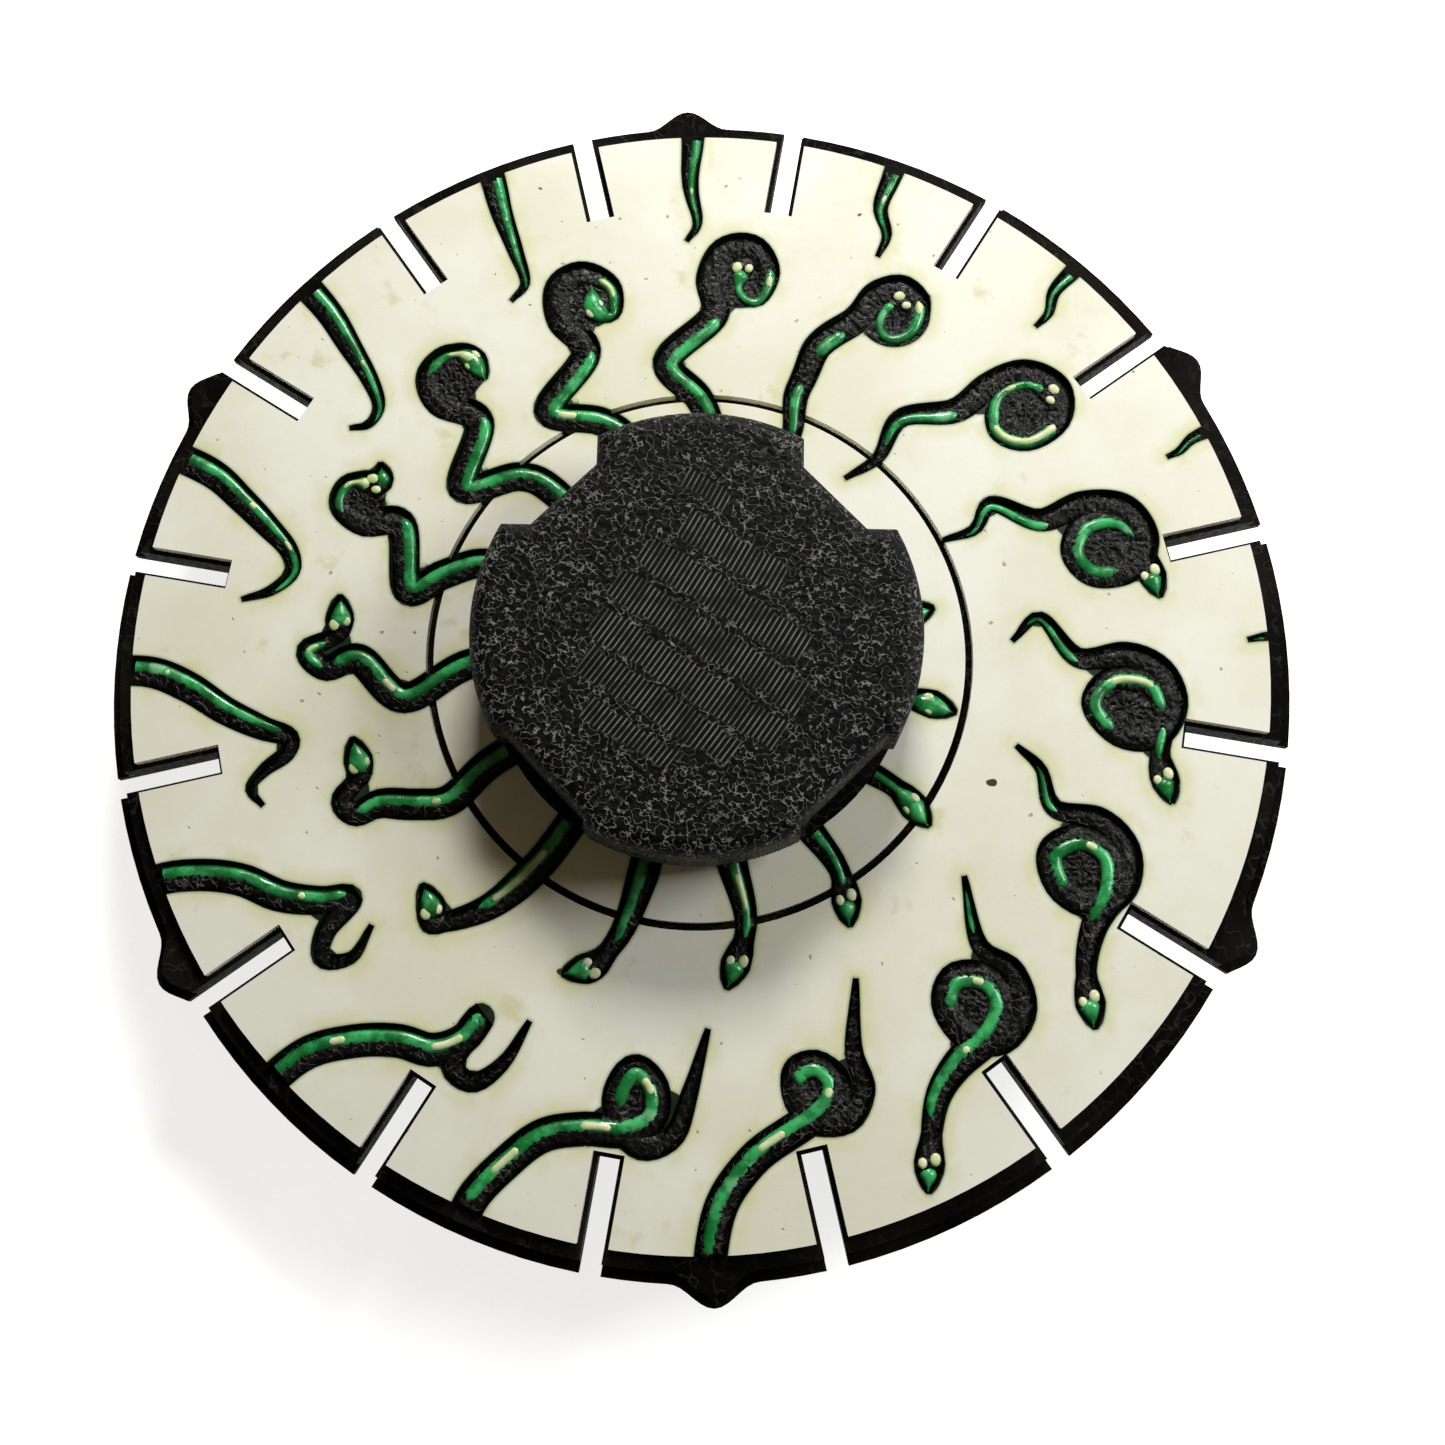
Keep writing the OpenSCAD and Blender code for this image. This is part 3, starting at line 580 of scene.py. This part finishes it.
def snake_bodies():
    """All thirty-two black bodies, with the rough hollow of each coil, as one piece."""
    points, faces, at = [], [], 0
    for f in range(1, FRAMES + 1):
        p, q = body_strip(f)
        used, q = keep_quads(p, q)
        points.append(p[used])
        faces.append(q + at)
        at += len(used)
        if COIL_FIRST <= f <= COIL_LAST:
            p, q = coil_floor(f)
            points.append(p)
            faces.append(q + at)
            at += len(p)
    return np.vstack(points), np.vstack(faces)


def coil(f):
    """Radius and middle of a coil's hollow, in its own sector."""
    return np.interp(f, *COIL_R), np.array([np.interp(f, *COIL_X), np.interp(f, *COIL_Y)])


def coil_floor(f):
    """The pebbled black hollow of a coil: rings of points, z = floor + 0.24 + relief."""
    radius, middle = coil(f)
    rings, turns = 20, 73
    r = np.linspace(0.02, radius + 0.05, rings)[:, None]
    a = np.linspace(0, 2 * np.pi, turns)[None, :]
    xy = in_disc(np.stack([middle[0] + r * np.sin(a), middle[1] + r * np.cos(a)], -1), f)
    x, y = xy[..., 0], xy[..., 1]
    z = FACE_Z + 0.24 + 0.16 * worms(x, y, 0.4, 21) + 0.05 * noise(x / 0.2, y / 0.2, random_grid(9))
    points = np.concatenate([xy, z[..., None]], -1).reshape(-1, 3)
    return points, grid_faces(rings, turns)[:, ::-1]


def ribbon(f, first, last, aside, width, lift, taper):
    """Points, quads and dome of a domed band on snake f between two shares of its length.

    z = foot + lift + (height t + 0.1 u + wave) (1 - v^2)^0.6, v across from -1 to 1, u along from
    0 to 1, and t growing with the band's own width. The ends narrow over taper rows.
    """
    p, s = centreline(f, LINE_STEP)
    rows = np.arange(int(first * (len(s) - 1)), int(math.ceil(last * (len(s) - 1))) + 1)
    p = p + sides(p) * (aside * middling(f, s))[:, None]
    ends = rows - rows[0]
    if last < 1 or f > LAST_HEAD:
        ends = np.minimum(ends, rows[-1] - rows)
    w = stripe_width(f, s)[rows] * width * np.sqrt(np.clip((ends + 0.2) / taper, 0, 1))
    v = np.linspace(-1, 1, 11)
    xy = in_disc(p[rows][:, None] + sides(p)[rows][:, None] * (w[:, None] * v)[..., None], f)
    dome = (1 - v[None, :] ** 2).clip(0) ** 0.6 + 0 * w[:, None]
    share = np.clip(w / (0.5 * width), 0.2, 1.3)[:, None]
    wave = 0.07 * noise(s / 0.9, s * 0 + f * 3.3, random_grid(31))[rows][:, None]
    z = STRIPE_Z + lift + (STRIPE_H * share + 0.1 * (s / s[-1])[rows][:, None] + wave) * dome
    points = np.concatenate([xy, z[..., None]], -1).reshape(-1, 3)
    return points, grid_faces(len(rows), len(v)), dome.reshape(-1)


def snake_stripe(f):
    """Points, quads and dome attribute of one green stripe, in its windows along the body."""
    points, faces, domes, at = [], [], [], 0
    for first, last, aside in stripe_windows(f):
        p, q, d = ribbon(f, first, last, aside, STRIPE_W, lift=0, taper=3)
        points.append(p)
        faces.append(q + at)
        domes.append(d)
        at += len(p)
    points, faces, domes = np.vstack(points), np.vstack(faces), np.concatenate(domes)
    used, faces = keep_quads(points, faces)
    return points[used], faces, domes[used]


def cap(middle, along, length, width, height, base):
    """A small domed oval: rings of points round the middle, z = base + height sqrt(1 - r^2)."""
    rings, turns = 6, 25
    r = np.linspace(0, 1, rings)[:, None]
    a = np.linspace(0, 2 * np.pi, turns)[None, :]
    side = np.array([along[1], -along[0]])
    xy = middle + (r * np.cos(a) * length)[..., None] * along
    xy = xy + (r * np.sin(a) * width)[..., None] * side
    z = base + height * np.sqrt(np.maximum(0, 1 - r ** 2)) + 0 * a
    return np.concatenate([xy, z[..., None]], -1).reshape(-1, 3), grid_faces(rings, turns)


def pale_caps():
    """Pale patches along the stripes, and two eyes on each head that is still on the disc."""
    points, faces, at = [], [], 0
    for f in range(1, FRAMES + 1):
        made = []
        for first, last in PATCHES.get(f, []):
            aside = next(a for low, high, a in stripe_windows(f) if low <= first <= high)
            p, q, _ = ribbon(f, first, last, aside, PATCH_W, lift=PATCH_LIFT, taper=2)
            used, q = keep_quads(p, q)
            made.append((p[used], q))
        if f <= LAST_HEAD:
            p, s = centreline(f, LINE_STEP)
            xy = in_disc(p, f)
            i = len(s) - 1 - int(EYE_BACK / LINE_STEP)
            t = xy[i + 2] - xy[i - 2]
            t /= np.linalg.norm(t)
            side = np.array([t[1], -t[0]])
            for k, size in EYES:
                spot = xy[i] + side * k * EYE_APART + t * k * 0.15
                if on_face(*spot) and np.hypot(*spot) > HUB_R + 0.6:
                    made.append(cap(spot, t, size, size * 0.85, EYE_H, EYE_Z))
        for p, q in made:
            points.append(p)
            faces.append(q + at)
            at += len(p)
    return np.vstack(points), np.vstack(faces)


def edge_distance(x, y):
    """Distance of each point from the nearest snake's outline, or 9 where none is near."""
    near = np.full(len(x), 9.0)
    for f in range(1, FRAMES + 1):
        p, s = centreline(f, EDGE_STEP)
        line, w = in_disc(p, f), half_width(f, s)
        low, high = line.min(0) - 4, line.max(0) + 4
        mine = np.nonzero((x > low[0]) & (x < high[0]) & (y > low[1]) & (y < high[1]))[0]
        for part in np.array_split(mine, max(1, len(mine) // 4000)):
            d = np.hypot(x[part, None] - line[None, :, 0], y[part, None] - line[None, :, 1])
            near[part] = np.minimum(near[part], (d - w[None]).min(1))
        if COIL_FIRST <= f <= COIL_LAST:
            radius, middle = coil(f)
            middle = in_disc(middle, f)
            d = np.hypot(x[mine] - middle[0], y[mine] - middle[1]) - radius
            near[mine] = np.minimum(near[mine], d)
    return near


def face_copy(node, name):
    """A pale ring: the CAD plate with its long triangles split, and its distance to the snakes."""
    points, tris = merged(node)
    mesh = bmesh.new()
    made = [mesh.verts.new(p) for p in points.tolist()]
    for t in tris.tolist():
        mesh.faces.new([made[k] for k in t])
    for _ in range(6):
        long = [e for e in mesh.edges if e.calc_length() > FACE_SPLIT]
        if not long:
            break
        bmesh.ops.subdivide_edges(mesh, edges=long, cuts=1)
        bmesh.ops.triangulate(mesh, faces=[f for f in mesh.faces if len(f.verts) > 3])
    mesh.verts.index_update()
    points = np.array([v.co[:] for v in mesh.verts])
    tris = np.array([[v.index for v in f.verts] for f in mesh.faces])
    mesh.free()
    edge = edge_distance(points[:, 0], points[:, 1])
    obj = piece(name, points, tris, CREAM, "disc", "cream_plastic", edge=edge)
    soften(obj, 0.07)
    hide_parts(node)


# ---------------------------------------------------------------------------
# Finger pads
# ---------------------------------------------------------------------------
def pad_outline(x, y):
    """Signed distance to the pad's outline, negative inside: lobes joined by flats between them."""
    r = np.hypot(x, y)
    low = y + FLAT_SHIFT
    diagonal = np.maximum(abs(x + low), abs(x - low)) / math.sqrt(2)
    flats = np.maximum(r - (PAD_D / 2 - PAD_STEP), diagonal - PAD_FLAT / 2)
    across = np.minimum(abs(x), abs(y)) - LOBE_W / 2
    lobes = np.maximum(r - PAD_D / 2, across)
    return np.minimum(flats, lobes)


BAND_ANGLE = math.radians(-32)
# Each ribbed band: place across the bands, middle along them, half length, half width
BANDS = [(8.9, -4.8, 2.0, 0.7), (6.0, -0.7, 4.3, 1.1), (2.7, 0.7, 7.0, 1.15),
         (-0.5, 1.3, 8.1, 1.15), (-3.6, 1.5, 7.9, 1.15), (-6.4, 1.0, 6.4, 1.05),
         (-9.2, 0.5, 3.8, 0.8)]


def pad_bands(x, y):
    """1 inside a ribbed band and 0 outside, and the distance along the bands."""
    along = x * math.cos(BAND_ANGLE) + y * math.sin(BAND_ANGLE)
    across = -x * math.sin(BAND_ANGLE) + y * math.cos(BAND_ANGLE)
    wobble = 0.5 * (noise(x / 0.8, y / 0.8, random_grid(17)) - 0.5)
    band = np.zeros_like(x)
    for place, middle, half, width in BANDS:
        inside = np.minimum(half - abs(along - middle), width - abs(across - place)) + wobble
        band = np.maximum(band, np.clip(inside / 0.2 + 0.5, 0, 1))
    return band, along + 0.005 * across ** 2


def pad_relief(x, y):
    """Height of the pad's skin: maze-like ridges, and shallow troughs for the ribbed bands."""
    band, _ = pad_bands(x, y)
    skin = 0.045 * worms(x, y, 0.5, 41) + 0.03 * noise(x / 0.3, y / 0.3, random_grid(8))
    return (1 - band) * skin + 0.02 * band


def pad_shell(step):
    """The upper pad's skin, wall and back: a square grid pulled onto the outline, then walled."""
    n = int(PAD_D / step / 2) + 2
    line = np.arange(-n, n + 1) * step
    x, y = np.meshgrid(line, line, indexing="ij")
    d = pad_outline(x, y)
    keep = d < 0.6 * step
    h = 0.01
    gx = (pad_outline(x + h, y) - pad_outline(x - h, y)) / (2 * h)
    gy = (pad_outline(x, y + h) - pad_outline(x, y - h)) / (2 * h)
    pull = np.where(keep, np.where(d > -0.4 * step, d, 0), 0)
    x, y = x - pull * gx, y - pull * gy
    d = np.minimum(0, d - pull)
    edge = np.clip(1 + d / PAD_EDGE, 0, 1)
    fall = PAD_EDGE * (1 - np.sqrt(1 - edge ** 2 * 0.999))
    z = PAD_TOP - SKIN_DROP - fall + pad_relief(x, y) * (1 - 0.4 * edge)
    points = np.stack([x, y, z], -1).reshape(-1, 3)
    faces = grid_faces(len(line), len(line))[:, ::-1]
    faces = faces[keep.reshape(-1)[faces].all(1)]
    used, back = np.unique(faces, return_inverse=True)
    points, faces = points[used], back.reshape(faces.shape)
    rim = border(faces)
    levels = np.linspace(0, 1, 8)[1:]
    walls, at = [], len(points)
    names, order = np.unique(rim, return_inverse=True)
    order = order.reshape(rim.shape)
    above, stack = names, [points]
    layer = points[names]
    for k, share in enumerate(levels):
        z = layer[:, 2] + (PAD_BACK - layer[:, 2]) * share
        out = 1 - LAYER_SHARE * (k % 2) * (share < 1)
        stack.append(np.stack([layer[:, 0] * out, layer[:, 1] * out, z], 1))
        below = at + np.arange(len(names))
        walls.append(np.stack([above[order[:, 1]], above[order[:, 0]],
                               below[order[:, 0]], below[order[:, 1]]], 1))
        above, at = below, at + len(names)
    stack.append(np.array([[0, 0, PAD_BACK]]))
    base = np.stack([above[order[:, 1]], above[order[:, 0]], np.full(len(rim), at)], 1)
    return np.vstack(stack), np.vstack([faces, *walls]), base


def border(faces):
    """The edges used by one quad only, in that quad's winding."""
    edges = np.stack([faces, np.roll(faces, -1, 1)], -1).reshape(-1, 2)
    key = np.sort(edges, 1) @ np.array([10 ** 7, 1])
    _, first, count = np.unique(key, return_index=True, return_counts=True)
    return edges[first[count == 1]]


def lathe(profile):
    """A surface turned about Z from (radius, height) points."""
    turns = 64
    r, z = np.array(profile, float).T
    a = np.linspace(0, 2 * np.pi, turns + 1)
    points = np.stack([r[:, None] * np.cos(a), r[:, None] * np.sin(a), z[:, None] + 0 * a], -1)
    return points.reshape(-1, 3), grid_faces(len(r), turns + 1)


def pad(name, node, step, upper):
    """One finger pad with its collar and stem; the lower one is the upper one's mirror image."""
    points, quads, tris = pad_shell(step)
    core, rings = lathe([(COLLAR_R, PAD_BACK), (COLLAR_R, COLLAR_Z), (STEM_R, COLLAR_Z),
                         (STEM_R, MID_Z), (PIN_R, MID_Z)])
    faces = quads.tolist() + tris.tolist() + (rings[:, ::-1] + len(points)).tolist()
    points = np.vstack([points, core])
    band, along = pad_bands(points[:, 0], points[:, 1])
    turn = math.radians(PAD_TURN)
    x, y = points[:, 0].copy(), points[:, 1].copy()
    points[:, 0] = x * math.cos(turn) - y * math.sin(turn)
    points[:, 1] = x * math.sin(turn) + y * math.cos(turn)
    if not upper:
        points[:, 2] = 2 * MID_Z - points[:, 2]
        faces = [f[::-1] for f in faces]
    skin = piece(name, points, faces, PAD_BLACK, "grip", "pad_plastic", band=band, along=along)
    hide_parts(node)


# ---------------------------------------------------------------------------
# The object
# ---------------------------------------------------------------------------
disc_points, disc_tris = merged("base_disc")
disc = piece("black_base_disc", disc_points, disc_tris, BLACK, "disc", "black_plastic")
soften(disc, 0.12)
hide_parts("base_disc")

face_copy("face_outer", "pale_outer_ring")
face_copy("face_inner", "pale_inner_ring")

bodies_points, bodies_faces = snake_bodies()
piece("snake_bodies_black", bodies_points, bodies_faces, BODY_BLACK, "disc", "black_plastic")

for number in range(1, FRAMES + 1):
    stripe_points, stripe_faces, stripe_dome = snake_stripe(number)
    stripe = piece("stripe_%02d" % number, stripe_points, stripe_faces, GREEN, "disc",
                   "green_plastic", dome=stripe_dome)
    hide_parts("snake_%02d" % number)

caps_points, caps_faces = pale_caps()
caps = piece("pale_spots_and_eyes", caps_points, caps_faces, PALE, "disc", "pale_plastic")
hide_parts("pale_marks")

pad("upper_pad_skin", "top_pad", 0.104, True)
pad("lower_pad_skin", "bottom_pad", 0.2, False)

for node, mat in (("bearing_outer_race", RACE), ("bearing_inner_race", RACE),
                  ("bearing_balls", BALL), ("bearing_shield_top", SHIELD),
                  ("bearing_shield_bottom", SHIELD), ("bearing_cage", CAGE), ("joining_pin", PIN)):
    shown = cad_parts[node]
    shown.data.materials.clear()
    shown.data.materials.append(mat)

# ---------------------------------------------------------------------------
# Floor, light and camera
# ---------------------------------------------------------------------------
floor_mat, floor_tree, floor_shader = material("white_paper_floor", Roughness=0.9,
                                               Specular_IOR_Level=0.1)
paper = ramp(floor_tree, grain(floor_tree, 40, 2), 0, 1, 0.3, 0.7)
paper = blend(floor_tree, paper, "#fbfbfb", "#ffffff")
link(floor_tree, paper, floor_shader.inputs["Base Color"])
link(floor_tree, paper, floor_shader.inputs["Emission Color"])
floor_shader.inputs["Emission Strength"].default_value = 0.8
bpy.ops.mesh.primitive_plane_add(size=3, location=(0, 0, 0))
floor = bpy.context.object
floor.name = "white_floor"
floor.data.materials.append(floor_mat)

world = bpy.data.worlds.new("soft_white_room")
bpy.context.scene.world = world
world.use_nodes = True
world.node_tree.nodes["Background"].inputs["Color"].default_value = linear("#ffeabf")
world.node_tree.nodes["Background"].inputs["Strength"].default_value = 0.07


def area_light(name, place, aim, size, watts, colour):
    """A square soft light at place, in millimetres, turned to face aim."""
    data = bpy.data.lights.new(name, "AREA")
    data.size = size * MM
    data.energy = watts
    data.color = linear(colour)[:3]
    obj = bpy.data.objects.new(name, data)
    bpy.context.scene.collection.objects.link(obj)
    here = np.array(place, float)
    obj.location = here * MM
    obj.rotation_euler = Vector(np.array(aim, float) - here).to_track_quat("-Z", "Y").to_euler()


area_light("key_top", (25, 200, 190), (0, 0, 12), 70, 0.53, "#fffefa")
area_light("soft_right", (250, 60, 220), (0, 0, 12), 130, 0.62, "#f8fbff")

camera_data = bpy.data.cameras.new("camera")
camera_data.lens = 48.6
camera_data.sensor_width = 36
camera_data.shift_y = -0.13
camera_data.clip_start = 0.005
camera = bpy.data.objects.new("camera", camera_data)
bpy.context.scene.collection.objects.link(camera)
camera.location = (2.76 * MM, -32.24 * MM, 158.4 * MM)
camera.rotation_euler = (math.radians(15.9), math.radians(0.7), math.radians(-1.45))
bpy.context.scene.camera = camera
bpy.context.scene.view_settings.view_transform = "Standard"

bpy.context.view_layer.update()
